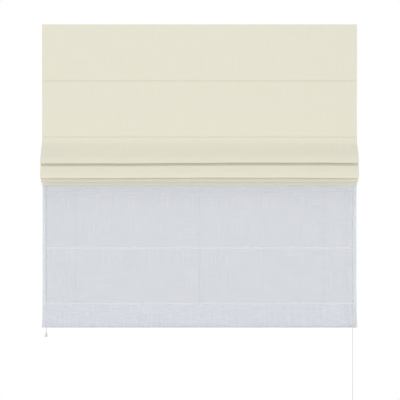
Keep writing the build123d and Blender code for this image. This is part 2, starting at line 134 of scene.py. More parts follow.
def make_piece(name, parts, slot):
    """An object from a list of (points, faces, uvs), with one UV for each point."""
    points, faces, uvs = [], [], []
    for part_points, part_faces, part_uvs in parts:
        start = len(points)
        points.extend(part_points)
        uvs.extend(part_uvs)
        faces.extend(tuple(start + corner for corner in face) for face in part_faces)
    mesh = bpy.data.meshes.new(name)
    mesh.from_pydata([tuple(point) for point in points], [], faces)
    layer = mesh.uv_layers.new(name="thread_map")
    corners = np.empty(len(mesh.loops), dtype=np.int32)
    mesh.loops.foreach_get("vertex_index", corners)
    layer.data.foreach_set("uv", np.array(uvs, dtype=np.float32)[corners].ravel())
    mesh.shade_smooth()
    mesh.set_sharp_from_angle(angle=SHARP_ANGLE)
    piece = bpy.data.objects.new(name, mesh)
    scene.collection.objects.link(piece)
    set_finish(piece, slot)
    print(f"{name}: {len(points)} points, {len(faces)} faces")
    return piece


# %% [markdown]
# ## The cords
# Three thin lift cords start at knots under the lowest rod, run up through the rings, turn over a pulley in
# the rail and run sideways to the cord lock. There the three leave together as one pull cord. A cord's line
# is a NURBS spline guided by a few points, read back as a fine row of points, and a tube follows that row.


# %% Cord helpers
def smooth_line(points, steps):
    """Points along a NURBS spline that has the given control points."""
    curve = bpy.data.curves.new("cord_line", "CURVE")
    curve.dimensions = "3D"
    spline = curve.splines.new("NURBS")
    spline.points.add(len(points) - 1)
    for place, point in zip(spline.points, points):
        place.co = (*point, 1)
    spline.order_u = 3
    spline.use_endpoint_u = True
    spline.resolution_u = steps
    holder = bpy.data.objects.new("cord_line", curve)
    mesh = bpy.data.meshes.new_from_object(holder)
    line = np.array([vertex.co for vertex in mesh.vertices])
    bpy.data.objects.remove(holder)
    bpy.data.curves.remove(curve)
    bpy.data.meshes.remove(mesh)
    return line


def steps_along(line):
    """The distance from each point of a line to the next."""
    return np.linalg.norm(np.diff(line, axis=0), axis=1)


def ring_faces(rows, sides):
    """Faces of a tube made of equal rings of points, with a cap at each end."""
    faces = []
    for row in range(rows - 1):
        low, high = row * sides, (row + 1) * sides
        for side in range(sides):
            beside = (side + 1) % sides
            faces.append((low + side, low + beside, high + beside, high + side))
    faces.append(tuple(reversed(range(sides))))
    faces.append(tuple(range((rows - 1) * sides, rows * sides)))
    return faces


def tube(line, radius, sides):
    """A closed round tube along a line that never runs straight towards the camera."""
    along = np.gradient(line, axis=0)
    along /= np.linalg.norm(along, axis=1)[:, None]
    across = np.cross(along, (0, 1, 0))
    across /= np.linalg.norm(across, axis=1)[:, None]
    other = np.cross(across, along)
    lengths = np.concatenate([[0], np.cumsum(steps_along(line))])
    points, uvs = [], []
    for row in range(len(line)):
        for side in range(sides):
            turn = 2 * math.pi * side / sides
            spoke = math.cos(turn) * across[row] + math.sin(turn) * other[row]
            points.append(line[row] + radius * spoke)
            uvs.append((side / sides, lengths[row]))
    return points, ring_faces(len(line), sides), uvs


def hanging_line(cord_x, cord_y, top, end, steps):
    """A fine straight line down from one height to another."""
    heights = (top, (top + end) / 2, end)
    return smooth_line([(cord_x, cord_y, height) for height in heights], steps)


# %% [markdown]
# The pull cords come first. Each is three strands with a gentle twist, from the lock's nozzle straight down
# to the bell. They hang free and taut under the bell's small weight.

# %% Pull cords
CORD_RADIUS = 0.00055
PULL_CORD_DIAMETER = 0.0024
TWIST_PITCH = 0.026
STRANDS = 3
STRAND_STEPS = 480
STRAND_SIDES = 6
strand_shift = PULL_CORD_DIAMETER / 2 - CORD_RADIUS

for cloth in ("front", "sheer"):
    low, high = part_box(f"{cloth}_pull_cord")
    cord_x, cord_y = (low[0] + high[0]) / 2, (low[1] + high[1]) / 2
    cord_end = low[2] + PULL_CORD_DIAMETER
    line = hanging_line(cord_x, cord_y, high[2], cord_end, STRAND_STEPS)
    drops = high[2] - line[:, 2]
    strands = []
    for strand in range(STRANDS):
        turns = 2 * math.pi * (drops / TWIST_PITCH + strand / STRANDS)
        shift = np.stack([np.cos(turns), np.sin(turns), np.zeros_like(turns)], axis=1)
        strands.append(tube(line + strand_shift * shift, CORD_RADIUS, STRAND_SIDES))
    piece = make_piece(f"{cloth}_pull_strands", strands, "cord")
    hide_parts(f"{cloth}_pull_cord")
    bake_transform(piece)
    print(f"{cloth} pull cord {high[2] - cord_end:.3f} m long")

# %% [markdown]
# Each lift cord is made in two lengths. The run over the pulley and along the rail stays where it is, and
# the drop below the pulley is a piece of its own. Each drop ends in a knot under the last ring.

# %% Lift cords
CORD_PLACES = (-0.52, 0.0, 0.52)
CORD_PITCH = 0.0035
CORD_SIDES = 8
RUN_STEPS = 12
FALL_STEPS = 60
RUN_RADIUS = 0.00585
TURN_LEAD = 0.0066
STRAND_PITCH = 0.00115
KNOT_RADIUS = 0.002
KNOT_ROWS = 9
KNOT_SIDES = 10
KNOT_LOBES = 3
KNOT_TWIST = 2
KNOT_SWELL = 0.12
KNOT_TIP = 0.0001
FRONT_REACH = 0.665


def knot(centre):
    """A small round knot with twisted lobes, as a closed tube of changing radius."""
    turns = np.linspace(0, math.pi, KNOT_ROWS)
    heights = -KNOT_RADIUS * np.cos(turns)
    points, uvs = [], []
    for row, height in enumerate(heights):
        for side in range(KNOT_SIDES):
            turn = 2 * math.pi * side / KNOT_SIDES
            swell = 1 + KNOT_SWELL * math.cos(KNOT_LOBES * turn + KNOT_TWIST * row)
            radius = max(KNOT_RADIUS * math.sin(turns[row]) * swell, KNOT_TIP)
            points.append(np.array(centre) + (radius * math.cos(turn), radius * math.sin(turn), height))
            uvs.append((side / KNOT_SIDES, height))
    return points, ring_faces(KNOT_ROWS, KNOT_SIDES), uvs


for cloth, toward in (("front", 1), ("sheer", -1)):
    low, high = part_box(f"{cloth}_lift_cords")
    middle = (low[1] + high[1]) / 2
    run_z = high[2] - CORD_RADIUS
    wheel_z = run_z - RUN_RADIUS
    knot_z = low[2] + KNOT_RADIUS
    nozzle_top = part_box(f"{cloth}_pull_cord")[1][2]
    pull_x = sum(corner[0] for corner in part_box(f"{cloth}_pull_cord")) / 2
    runs, falls = [], []
    for number, cord_x in enumerate(CORD_PLACES):
        cord_y = middle + (number - 1) * CORD_PITCH
        strand_y = middle + (number - 1) * STRAND_PITCH
        run = [
            (cord_x, cord_y, wheel_z),
            (cord_x, cord_y, run_z),
            (cord_x + toward * TURN_LEAD, cord_y, run_z),
            (pull_x - toward * TURN_LEAD, cord_y, run_z),
            (pull_x, cord_y, run_z),
            (pull_x, (cord_y + strand_y) / 2, wheel_z),
            (pull_x, strand_y, nozzle_top),
        ]
        runs.append(tube(smooth_line(run, RUN_STEPS), CORD_RADIUS, CORD_SIDES))
        fall = hanging_line(cord_x, cord_y, wheel_z, knot_z, FALL_STEPS)
        falls.append(tube(fall, CORD_RADIUS, CORD_SIDES))
        falls.append(knot((cord_x, cord_y, knot_z)))
    run_piece = make_piece(f"{cloth}_cord_runs", runs, "cord")
    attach(run_piece, "root")
    fall_piece = make_piece(f"{cloth}_cord_falls", falls, "cord")
    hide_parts(f"{cloth}_lift_cords")
    if cloth == "front":
        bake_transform(fall_piece)
    else:
        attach(fall_piece, "root")
        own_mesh(fall_piece)

# %% [markdown]
# ## Cloth from a section line
# Seen from the side, each cloth is one line: flat panels, small tucks at the seams, loops where the rods
# have gathered it. So a cloth is drawn as that line, with its corners rounded, and moved along X. A
# thickness is set off to both sides. A last function may shift each point, because real cloth is never
# quite straight.


# %% Cloth helpers
def rounded(corners, radii, arc_step=math.radians(15), run_step=0.012):
    """A fine section line through (forward, drop) corners, each inner one rounded by its radius."""
    corners = [np.array(corner, dtype=float) for corner in corners]
    stops = [[corners[0]]]
    for before, corner, after, radius in zip(corners, corners[1:], corners[2:], radii):
        back = (before - corner) / np.linalg.norm(before - corner)
        ahead = (after - corner) / np.linalg.norm(after - corner)
        half = math.acos(np.clip(back @ ahead, -1, 1)) / 2
        middle = corner + (back + ahead) / np.linalg.norm(back + ahead) * radius / math.sin(half)
        start = corner + back * radius / math.tan(half) - middle
        end = corner + ahead * radius / math.tan(half) - middle
        sweep = math.pi - 2 * half
        count = max(2, math.ceil(sweep / arc_step))
        arc = []
        for turn in np.linspace(0, sweep, count + 1):
            swung = math.sin(sweep - turn) * start + math.sin(turn) * end
            arc.append(middle + swung / math.sin(sweep))
        stops.append(arc)
    stops.append([corners[-1]])
    line = [stops[0][0]]
    for stop in stops[1:]:
        start = line[-1]
        run = stop[0] - start
        count = max(1, math.ceil(np.linalg.norm(run) / run_step))
        line.extend(start + run * step / count for step in range(1, count))
        line.extend(stop)
    return np.array(line)


def cloth_part(line, places, thickness, back, shift=None):
    """Points, faces and UVs of a cloth that follows a section line from one place along X to another."""
    lengths = np.concatenate([[0], np.cumsum(steps_along(line))])
    count = len(line)
    points, uvs, faces = [], [], []
    for place in places:
        forward, drop = line[:, 0].copy(), line[:, 1].copy()
        side = np.full(count, place)
        if shift is not None:
            side, forward, drop = shift(side, forward, drop)
        ahead = np.stack([np.gradient(forward), np.gradient(drop)], axis=1)
        ahead /= np.linalg.norm(ahead, axis=1)[:, None]
        for half in (thickness / 2, -thickness / 2):
            set_off = forward + half * ahead[:, 1]
            fallen = drop - half * ahead[:, 0]
            points.extend(zip(side, back - set_off, cloth_top - fallen))
            uvs.extend(zip(np.full(count, place), lengths))
    column = 2 * count
    for place in range(len(places) - 1):
        left, right = place * column, (place + 1) * column
        for row in range(count - 1):
            faces.append((left + row, left + row + 1, right + row + 1, right + row))
            behind_left, behind_right = left + count + row, right + count + row
            faces.append((behind_left, behind_right, behind_right + 1, behind_left + 1))
        faces.append((left, right, right + count, left + count))
        end = count - 1
        faces.append((left + end, left + count + end, right + count + end, right + end))
    last = (len(places) - 1) * column
    for row in range(count - 1):
        faces.append((row, row + count, row + count + 1, row + 1))
        faces.append((last + row, last + row + 1, last + row + count + 1, last + row + count))
    return points, faces, uvs


def smooth_step(value):
    """0 below 0, 1 above 1, and a soft rise between."""
    value = np.clip(value, 0, 1)
    return value * value * (3 - 2 * value)


def waves(side, table, depth=0.0):
    """A sum of sine waves along the width, each given as (share, length, start, lean with the depth)."""
    total = 0.0
    for share, length, start, lean in table:
        total = total + share * np.sin(2 * np.pi * side / length + start + lean * depth)
    return total


# %% [markdown]
# ## The front cloth
# Two flat panels hang above three gathered loops. Behind each seam a rod is sewn in, and the seam is pulled
# back into a shallow tuck. Below the second seam the cloth swings forward into the loops: each goes down
# its face, turns under, and climbs back up to the next rod. The hem wraps round a flat bar. The section's
# corners are given as how far forward and how far down they are.

# %% Front section
FRONT_THICKNESS = 0.0012
FRONT_COLUMNS = 105
PANEL = 0.232
TUCK_DEPTH = 0.0036
TUCK_RISE = 0.012
TUCK_FALL = 0.004
TUCK_RADIUS = 0.0015
BULGE_RADIUS = 0.055
SOFT_RADIUS = 0.007
FOLD_RADIUS = 0.00216
CREST_FRONT = -0.0016
CREST_BACK = -0.0076
HEM_RADIUS = 0.0016
HEM_TURN_RADIUS = 0.004
flat = FRONT_THICKNESS / 2
seams = (PANEL, 2 * PANEL)
swing = [(flat, 0.486), (0.040, 0.549)]
loops = [
    {"face": [], "bottom": [(0.050, 0.5743), (0.044, 0.5743)], "crest": 0.5030},
    {
        "face": [(0.0305, 0.5765), (0.038, 0.587), (0.048, 0.616)],
        "bottom": [(0.051, 0.6356), (0.045, 0.6356)],
        "crest": 0.5400,
    },
    {"face": [(0.028, 0.6400)], "bottom": [(0.0280, 0.6508), (0.0220, 0.6508)], "crest": 0.5659},
]
hem = [(flat, 0.6001), (0.0026, 0.6644), (-0.0022, 0.6644), (-0.0022, 0.6455), (0.0003, 0.6405)]

front_corners = [(flat, 0)]
front_radii = []
for seam in seams:
    front_corners += [(flat, seam - TUCK_RISE), (flat - TUCK_DEPTH, seam), (flat, seam + TUCK_FALL)]
    front_radii += [TUCK_RADIUS] * 3
front_corners += swing
front_radii += [BULGE_RADIUS] * len(swing)
for loop in loops:
    front_corners += loop["face"] + loop["bottom"]
    front_radii += [SOFT_RADIUS] * len(loop["face"]) + [FOLD_RADIUS] * 2
    front_corners += [(CREST_FRONT, loop["crest"]), (CREST_BACK, loop["crest"])]
    front_radii += [FOLD_RADIUS] * 2
front_corners += hem
front_radii += [BULGE_RADIUS, HEM_RADIUS, HEM_RADIUS, HEM_TURN_RADIUS]
print(f"front section: {len(front_corners)} corners, {len(loops)} loops")

# %% [markdown]
# The loops' edges wave a little along the width, because the cords hold the cloth at three places only. The
# further forward the cloth is, the looser it hangs. The flat panels billow by half a millimetre, and the
# lower one is drawn in a little at its sides.

# %% Front cloth
LOOSE_FROM = 0.008
LOOSE_RUN = 0.03
FIRST_EDGE = 0.574
EDGE_PITCH = 0.06
WAVE_LENGTH = 1.65
WAVE_PLACE = 0.473
WAVE_LEAN = 0.8
WAVE_HEIGHT = 0.0016
WAVE_FADE = 0.3
EDGE_LIFT = 0.0005
RIPPLES = ((1.0, 0.31, 1.1, 2.3), (0.6, 0.173, 0.0, 4.0))
RIPPLE_HEIGHT = 0.0003
RIPPLE_DEPTH = 0.0008
BILLOWS = ((1.0, 0.57, 0.4, 2.1),)
BILLOW_DEPTH = 0.0005
WAIST = 0.0012


def front_ease(side, forward, drop):
    """Soft unevenness of the hung cloth: waving loop edges, faint swells in the panels, waisted sides."""
    loose = smooth_step((forward - LOOSE_FROM) / LOOSE_RUN)
    depth = (drop - FIRST_EDGE) / EDGE_PITCH
    wave = np.cos(2 * np.pi * (side + WAVE_PLACE) / WAVE_LENGTH + WAVE_LEAN * depth)
    ripple = waves(side, RIPPLES, depth)
    swell = np.sin(np.pi * np.clip(drop, 0, 2 * PANEL) / PANEL) ** 2
    panel = np.where(drop < PANEL, 0.0, 1.0)
    billow = waves(side, BILLOWS, panel)
    waist = 1 - WAIST * swell * panel
    eased_forward = forward + BILLOW_DEPTH * swell * billow + RIPPLE_DEPTH * loose * ripple
    fade = 1 - WAVE_FADE * np.clip(depth, 0, 1)
    sag = WAVE_HEIGHT * wave * fade + RIPPLE_HEIGHT * ripple - EDGE_LIFT
    return side * waist, eased_forward, drop + loose * sag


front_line = rounded(front_corners, front_radii)
front_places = np.linspace(-front_width / 2, front_width / 2, FRONT_COLUMNS)
front_cloth = make_piece(
    "front_cloth",
    [cloth_part(front_line, front_places, FRONT_THICKNESS, front_back, front_ease)],
    "cream_cloth",
)
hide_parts("front_fabric")
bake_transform(front_cloth)

# %% [markdown]
# ## The sheer cloth
# The sheer cloth hangs flat, with a narrow band across it in front of each rod. The band is near opaque,
# and its pale colour is painted light: it stands in for light shining through the rod pockets, and it is
# pale enough to lift the shade under the front cloth. Its weighted double hem swings slightly forward. When
# the blind is raised, the panels gather while the hem keeps its shape, so the hem is a piece of its own,
# sewn to the last panel, and it rides on the hem bar. Down each side the edge is turned over into a narrow
# hem, a second layer. The hem, the side hems and the pockets are drawn in whiter tones than the panels, as
# painted light.

# %% Sheer cloth
SHEER_THICKNESS = 0.0006
SHEER_COLUMNS = 83
SHEER_STEP = 0.02
SHEER_TOP = 0.0109
SHEER_FIRST_ROD = 0.2295
SHEER_HEM_TOP = 1.1675
RODS = 5
LAYER_GAP = 0.0002
BAND_HEIGHT = 0.0052
BAND_THICKNESS = 0.0005
BAND_ROWS = (-0.5, -0.2, 0.2, 0.5)
SIDE_HEM_INSETS = np.array((0.0, 0.006, 0.012))
HEM_STEP = 0.01
HEM_BEND_RADIUS = 0.15
HEM_LAP = 0.0008
BAR_PLACE = np.array((0.0168, 1.2517))
BAR_WRAP = 0.00355
BAR_RADIUS_SHARE = 0.97
HEM_STRAIGHT = 0.030
HEM_SLOPE = np.array((0.326, 0.945))
STILL_TOP = 0.1
STILL_RUN = 0.3
STILL_HEM = 0.1
SHEER_WAVES = ((1.0, 0.46, 0.7, 0.0), (0.5, 0.21, 2.0, 0.0))
SHEER_WAVE_DEPTH = 0.0007
SHEER_NARROW = 0.0008

sheer_flat = SHEER_THICKNESS / 2
sheer_corners = [(sheer_flat, SHEER_TOP), (sheer_flat, SHEER_HEM_TOP)]

hem_across = np.array((HEM_SLOPE[1], -HEM_SLOPE[0]))
hem_corners = [
    (sheer_flat + HEM_LAP, SHEER_HEM_TOP - HEM_LAP),
    (sheer_flat + HEM_LAP, SHEER_HEM_TOP + HEM_STRAIGHT),
    BAR_PLACE + BAR_WRAP * (HEM_SLOPE + hem_across),
    BAR_PLACE + BAR_WRAP * (HEM_SLOPE - hem_across),
    (-sheer_flat, SHEER_HEM_TOP + HEM_STRAIGHT),
    (-sheer_flat, SHEER_HEM_TOP + HEM_LAP),
]
bar_radius = BAR_WRAP * BAR_RADIUS_SHARE
hem_radii = [HEM_BEND_RADIUS, bar_radius, bar_radius, HEM_BEND_RADIUS]


def sheer_ease(side, forward, drop):
    """Long shallow waves down the sheer cloth, still at its top and at its hem."""
    free = smooth_step((drop - STILL_TOP) / STILL_RUN) * smooth_step((SHEER_HEM_TOP - drop) / STILL_HEM)
    narrow = 1 - SHEER_NARROW * free
    return side * narrow, forward + SHEER_WAVE_DEPTH * free * waves(side, SHEER_WAVES), drop


sheer_line = rounded(sheer_corners, [], run_step=SHEER_STEP)
sheer_places = np.linspace(-sheer_width / 2, sheer_width / 2, SHEER_COLUMNS)
sheer_cloth = make_piece(
    "sheer_cloth",
    [cloth_part(sheer_line, sheer_places, SHEER_THICKNESS, sheer_back, sheer_ease)],
    "sheer_cloth",
)
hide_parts("sheer_fabric")
side_line = sheer_line + np.array((SHEER_THICKNESS + LAYER_GAP, 0))
side_parts = []
for edge in (-1, 1):
    edge_places = np.sort(edge * (sheer_width / 2 - SIDE_HEM_INSETS))
    side_parts.append(cloth_part(side_line, edge_places, SHEER_THICKNESS, sheer_back, sheer_ease))
side_hems = make_piece("sheer_side_hems", side_parts, "sheer_cloth")
for piece in (sheer_cloth, side_hems):
    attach(piece, "root")
    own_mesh(piece)
hem_line = rounded(hem_corners, hem_radii, run_step=HEM_STEP)
sheer_hem = make_piece(
    "sheer_hem_band",
    [cloth_part(hem_line, sheer_places, SHEER_THICKNESS, sheer_back)],
    "sheer_cloth",
)
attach(sheer_hem, "sheer_hem")
bands = []
band_forward = SHEER_THICKNESS + BAND_THICKNESS / 2 + LAYER_GAP
for number in range(1, RODS + 1):
    drop = SHEER_FIRST_ROD + (number - 1) * PANEL
    band_line = np.array([(band_forward, drop + BAND_HEIGHT * share) for share in BAND_ROWS])
    band = make_piece(
        f"sheer_rod_band_{number}",
        [cloth_part(band_line, sheer_places, BAND_THICKNESS, sheer_back, sheer_ease)],
        "sheer_cloth",
    )
    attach(band, f"sheer_rod_{number}")
    bands.append(band)

# %% [markdown]
# ## Rod pockets
# A narrow tape is sewn round each rod and to the cloth. It is open for a finger's width at each cord, where
# the ring clips on the rod. The pocket moves with its rod. On the crests of the folds the rod lies above
# the cloth, and elsewhere it lies behind it.

# %% Rod pockets
POCKET_BREAK = 0.018
POCKET_TAPE = 0.0006
ROD_ROOM = 0.0003
POCKET_MOUTH = math.radians(32)
POCKET_STEPS = 26
POCKET_COLUMNS = 12
POCKET_SEAM = 0.0004
POCKET_REACH = 0.0014
RODS_ON_SEAMS = 2


def pocket_line(centre, radius, reach, facing):
    """Section of a tape from the cloth, round a rod and back, with the cloth in the facing direction."""
    ring = []
    for turn in np.linspace(POCKET_MOUTH, 2 * math.pi - POCKET_MOUTH, POCKET_STEPS):
        ring.append(centre + radius * np.array((math.cos(facing + turn), math.sin(facing + turn))))
    toward_cloth = np.array((math.cos(facing), math.sin(facing)))
    sideways = np.array((-math.sin(facing), math.cos(facing)))
    mouth = centre + reach * toward_cloth
    return np.array([mouth + POCKET_SEAM * sideways] + ring + [mouth - POCKET_SEAM * sideways])


sheer_pockets = []
for cloth, back, slot in (("front", front_back, "cream_cloth"), ("sheer", sheer_back, "sheer_cloth")):
    for number in range(1, RODS + 1):
        low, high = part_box(f"{cloth}_rod_{number}")
        rod_radius = (high[2] - low[2]) / 2
        centre = np.array((back - (low[1] + high[1]) / 2, cloth_top - (low[2] + high[2]) / 2))
        on_crest = cloth == "front" and number > RODS_ON_SEAMS
        facing = math.pi / 2 if on_crest else 0
        reach = rod_radius + POCKET_REACH
        line = pocket_line(centre, rod_radius + ROD_ROOM + POCKET_TAPE / 2, reach, facing)
        edges = [low[0]]
        for cord_x in CORD_PLACES:
            edges += [cord_x - POCKET_BREAK / 2, cord_x + POCKET_BREAK / 2]
        edges.append(high[0])
        parts = []
        for start, end in zip(edges[::2], edges[1::2]):
            places = np.linspace(start, end, POCKET_COLUMNS)
            parts.append(cloth_part(line, places, POCKET_TAPE, back))
        pocket = make_piece(f"{cloth}_rod_pocket_{number}", parts, slot)
        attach(pocket, f"{cloth}_rod_{number}")
        if cloth == "sheer":
            sheer_pockets.append(pocket)

# %% [markdown]
# ## Stitches
# Rows of small stitches hold the tucks, the hem and the hem band. Each stitch is a short spindle of thread
# that lies on the cloth. They are too fine to see across a room, but they are what makes a seam close up.
# The rows on the hem and the hem band ride on their hem.

# %% Stitches
STITCH_PITCH = 0.0036
STITCH_LENGTH = 0.0027
STITCH_RADIUS = 0.00028
STITCH_SIDES = 5
STITCH_TIP = 0.35
STITCH_INSET = 0.012
SEAM_STITCH_LIFT = 0.0013
HEM_STITCH_FORWARD = 0.0025
HEM_STITCH_DROP = 0.6420
SHEER_STITCH_LIFT = 0.0001
SHEER_STITCH_DROP = 0.002


def stitch_row(name, width, forward, drop, back, slot):
    """A row of stitches along X at one forward place and drop."""
    parts = []
    count = int(width / STITCH_PITCH)
    for number in range(count):
        middle = (number - (count - 1) / 2) * STITCH_PITCH
        places = [middle + STITCH_LENGTH * share for share in (-0.5, 0, 0.5)]
        line = np.array([(place, back - forward, cloth_top - drop) for place in places])
        points, faces, uvs = tube(line, STITCH_RADIUS, STITCH_SIDES)
        for corner in range(STITCH_SIDES):
            points[corner] = line[0] + STITCH_TIP * (points[corner] - line[0])
            points[-1 - corner] = line[-1] + STITCH_TIP * (points[-1 - corner] - line[-1])
        parts.append((points, faces, uvs))
    return make_piece(name, parts, slot)


stitch_rows = []
for number, seam in enumerate(seams, start=1):
    row = stitch_row(
        f"front_seam_stitches_{number}",
        front_width - STITCH_INSET,
        flat - TUCK_DEPTH + SEAM_STITCH_LIFT,
        seam,
        front_back,
        "cream_cloth",
    )
    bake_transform(row)
    stitch_rows.append(row)
hem_stitches = stitch_row(
    "front_hem_stitches",
    front_width - STITCH_INSET,
    HEM_STITCH_FORWARD,
    HEM_STITCH_DROP,
    front_back,
    "cream_cloth",
)
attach(hem_stitches, "front_hem")
sheer_stitches = stitch_row(
    "sheer_hem_stitches",
    sheer_width - STITCH_INSET,
    SHEER_THICKNESS + HEM_LAP + SHEER_STITCH_LIFT,
    SHEER_HEM_TOP + SHEER_STITCH_DROP,
    sheer_back,
    "sheer_cloth",
)
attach(sheer_stitches, "sheer_hem")

# %% [markdown]
# ## Finishes
# Each finish is a short node tree around one Principled BSDF. Two effects are shared, so they are node
# groups: a plain weave, used by the cloths, tapes and cords, and a fine grain, used by the fittings and
# tapes. A group puts out only a height, a tone and, for the weave, how far the threads cover. Each
# material decides what to do with them.


# %% Node helpers
def add_node(tree, kind, inputs=None, **settings):
    """A node with its settings, and each input linked or set."""
    node = tree.nodes.new(kind)
    for name, value in settings.items():
        setattr(node, name, value)
    for name, value in (inputs or {}).items():
        if isinstance(value, bpy.types.NodeSocket):
            tree.links.new(value, node.inputs[name])
        else:
            node.inputs[name].default_value = value
    return node


def math_node(tree, operation, first, second=0.0, third=0.0):
    """The result of a Math node."""
    return add_node(tree, "ShaderNodeMath", {0: first, 1: second, 2: third}, operation=operation).outputs[0]


def mix_colours(tree, factor, first, second):
    """A colour between two others."""
    node = add_node(tree, "ShaderNodeMix", {0: factor, 6: first, 7: second}, data_type="RGBA")
    return node.outputs[2]


def new_group(name, inputs, outputs):
    """An empty shader node group with float and vector sockets, and its two end nodes."""
    group = bpy.data.node_groups.new(name, "ShaderNodeTree")
    for label, kind, value in inputs:
        socket = group.interface.new_socket(name=label, in_out="INPUT", socket_type=kind)
        if value is not None:
            socket.default_value = value
    for label in outputs:
        group.interface.new_socket(name=label, in_out="OUTPUT", socket_type="NodeSocketFloat")
    return group, group.nodes.new("NodeGroupInput"), group.nodes.new("NodeGroupOutput")


# %% Plain weave group
weave_group, weave_in, weave_out = new_group(
    "plain weave",
    [
        ("Vector", "NodeSocketVector", None),
        ("Threads", "NodeSocketFloat", 1200.0),
        ("Slub", "NodeSocketFloat", 0.5),
    ],
    ["Height", "Tone", "Cover"],
)
split = add_node(weave_group, "ShaderNodeSeparateXYZ", {0: weave_in.outputs["Vector"]})
turn = math_node(weave_group, "MULTIPLY", weave_in.outputs["Threads"], math.pi)
warp = math_node(weave_group, "SINE", math_node(weave_group, "MULTIPLY", split.outputs[0], turn))
weft = math_node(weave_group, "SINE", math_node(weave_group, "MULTIPLY", split.outputs[1], turn))
crossing = math_node(weave_group, "MULTIPLY", warp, weft)
height = math_node(weave_group, "MULTIPLY_ADD", crossing, 0.5, 0.5)
slubs = []
for stretch in ((9.0, 420.0, 1.0), (420.0, 9.0, 1.0)):
    stretched = add_node(
        weave_group,
        "ShaderNodeVectorMath",
        {0: weave_in.outputs["Vector"], 1: stretch},
        operation="MULTIPLY",
    )
    noise = add_node(
        weave_group,
        "ShaderNodeTexNoise",
        {"Vector": stretched.outputs[0], "Scale": 1.0, "Detail": 2.0},
    )
    slubs.append(noise.outputs["Fac"])
uneven = math_node(weave_group, "ADD", slubs[0], slubs[1])
uneven = math_node(weave_group, "SUBTRACT", uneven, 1.0)
uneven = math_node(weave_group, "MULTIPLY", uneven, weave_in.outputs["Slub"])
tone = math_node(weave_group, "ADD", uneven, 0.5)
weave_group.links.new(height, weave_out.inputs["Height"])
weave_group.links.new(tone, weave_out.inputs["Tone"])
gaps = math_node(weave_group, "MULTIPLY", warp, warp)
gaps = math_node(weave_group, "MAXIMUM", gaps, math_node(weave_group, "MULTIPLY", weft, weft))
weave_group.links.new(gaps, weave_out.inputs["Cover"])

# %% Fine grain group
grain_group, grain_in, grain_out = new_group(
    "fine grain",
    [
        ("Vector", "NodeSocketVector", None),
        ("Fineness", "NodeSocketFloat", 900.0),
        ("Stretch", "NodeSocketVector", (1.0, 1.0, 1.0)),
    ],
    ["Height", "Tone"],
)
stretched = add_node(
    grain_group,
    "ShaderNodeVectorMath",
    {0: grain_in.outputs["Vector"], 1: grain_in.outputs["Stretch"]},
    operation="MULTIPLY",
)
fine = add_node(
    grain_group,
    "ShaderNodeTexNoise",
    {"Vector": stretched.outputs[0], "Scale": grain_in.outputs["Fineness"], "Detail": 3.0},
)
broad = add_node(
    grain_group,
    "ShaderNodeTexNoise",
    {"Vector": grain_in.outputs["Vector"], "Scale": 14.0, "Detail": 4.0, "Roughness": 0.65},
)
grain_group.links.new(fine.outputs["Fac"], grain_out.inputs["Height"])
grain_group.links.new(broad.outputs["Fac"], grain_out.inputs["Tone"])
print("node groups:", weave_group.name, "and", grain_group.name)


# %% Material helpers
def new_material(name):
    """A material with its tree and its Principled BSDF."""
    material = bpy.data.materials.new(name)
    material.use_nodes = True
    tree = material.node_tree
    return material, tree, tree.nodes["Principled BSDF"]


def use_group(tree, group, inputs):
    """A shared group placed in a material."""
    return add_node(tree, "ShaderNodeGroup", inputs, node_tree=group)


def thread_weave(tree, threads, slub):
    """The plain weave laid along the threads of a cloth."""
    uv = add_node(tree, "ShaderNodeUVMap", uv_map="thread_map")
    return use_group(tree, weave_group, {"Vector": uv.outputs[0], "Threads": threads, "Slub": slub})


def solid_grain(tree, fineness, stretch):
    """The fine grain laid through a solid piece."""
    place = add_node(tree, "ShaderNodeTexCoord")
    inputs = {"Vector": place.outputs["Object"], "Fineness": fineness, "Stretch": stretch}
    return use_group(tree, grain_group, inputs)


def set_bump(tree, shader, height, strength, distance):
    """Height joined to the shader's normal."""
    bump = add_node(tree, "ShaderNodeBump", {"Height": height, "Strength": strength, "Distance": distance})
    tree.links.new(bump.outputs[0], shader.inputs["Normal"])


def tint(tree, shader, factor, dark, light):
    """Base colour between two tones."""
    tree.links.new(mix_colours(tree, factor, (*dark, 1), (*light, 1)), shader.inputs["Base Color"])


# %% [markdown]
# The cream cloth is a close matt weave with faint slubs, so its tone varies by a few hundredths only. The
# thread in its seams is drawn darker, as painted shade that deepens the seam lines. The sheer cloth is an
# open voile: its alpha is high on the threads and low in the gaps. Light passes through two faces, and on
# average a third of what is behind shows through both. The blue in its tones is painted light, standing in
# for cool daylight from behind.


# %% Cloth finishes
def cream_finish(name, dark, light):
    """A close matt weave with faint slubs."""
    material, tree, shader = new_material(name)
    weave = thread_weave(tree, 1100.0, 0.9)
    tint(tree, shader, weave.outputs["Tone"], dark, light)
    shader.inputs["Roughness"].default_value = 0.92
    shader.inputs["Specular IOR Level"].default_value = 0.2
    set_bump(tree, shader, weave.outputs["Height"], 0.25, 0.0002)
    return material


def sheer_finish(name, dark, light, density):
    """An open weave that lets light through its gaps, less of it the higher the density."""
    material, tree, shader = new_material(name)
    weave = thread_weave(tree, 1500.0, 1.2)
    tint(tree, shader, weave.outputs["Tone"], dark, light)
    shader.inputs["Roughness"].default_value = 0.8
    shader.inputs["Specular IOR Level"].default_value = 0.2
    cover = math_node(tree, "MULTIPLY_ADD", weave.outputs["Cover"], 0.3, density - 0.35)
    cover = math_node(tree, "MULTIPLY_ADD", weave.outputs["Tone"], 0.24, cover)
    tree.links.new(cover, shader.inputs["Alpha"])
    set_bump(tree, shader, weave.outputs["Height"], 0.2, 0.0001)
    return material


